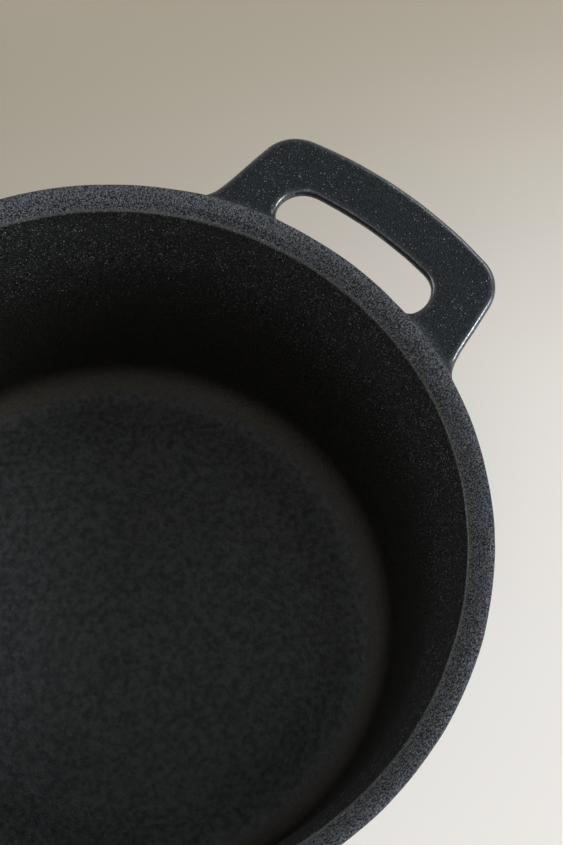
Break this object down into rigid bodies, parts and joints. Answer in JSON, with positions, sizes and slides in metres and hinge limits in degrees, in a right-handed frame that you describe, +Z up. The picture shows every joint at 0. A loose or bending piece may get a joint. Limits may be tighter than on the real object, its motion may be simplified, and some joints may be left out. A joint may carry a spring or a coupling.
{
  "type": "cocotte",
  "caption": "Round cast-iron casserole with flat loop handles and a flared, rounded rim, its domed lid turned over beside it on a flat-topped knob.",
  "frame": {"origin": "centre of the pot's flat underside", "axes": "+Z up the pot's axis, X through both handles, +Y towards the lid that lies beside the pot"},
  "size_m": [0.2712, 0.4994, 0.094],
  "materials": {
    "pot_iron": "seasoned black sand casting, fine grain, low sheen",
    "lid_iron": "seasoned black sand casting, fine grain, low sheen",
    "knob_iron": "seasoned black, smoother than the castings",
    "fastener_steel": "bright turned steel"
  },
  "bodies": {
    "pot": {"pot": "pot_iron"},
    "lid": {"lid": "lid_iron", "lid_knob": "knob_iron", "lock_washer": "fastener_steel", "knob_screw": "fastener_steel"}
  },
  "joints": [
    {"name": "lid_turn_over", "type": "hinge", "parent": "pot", "child": "lid", "pos_m": [0, 0.145, 0.06655], "axis": [1, 0, 0], "range_deg": [0, 180]}
  ]
}
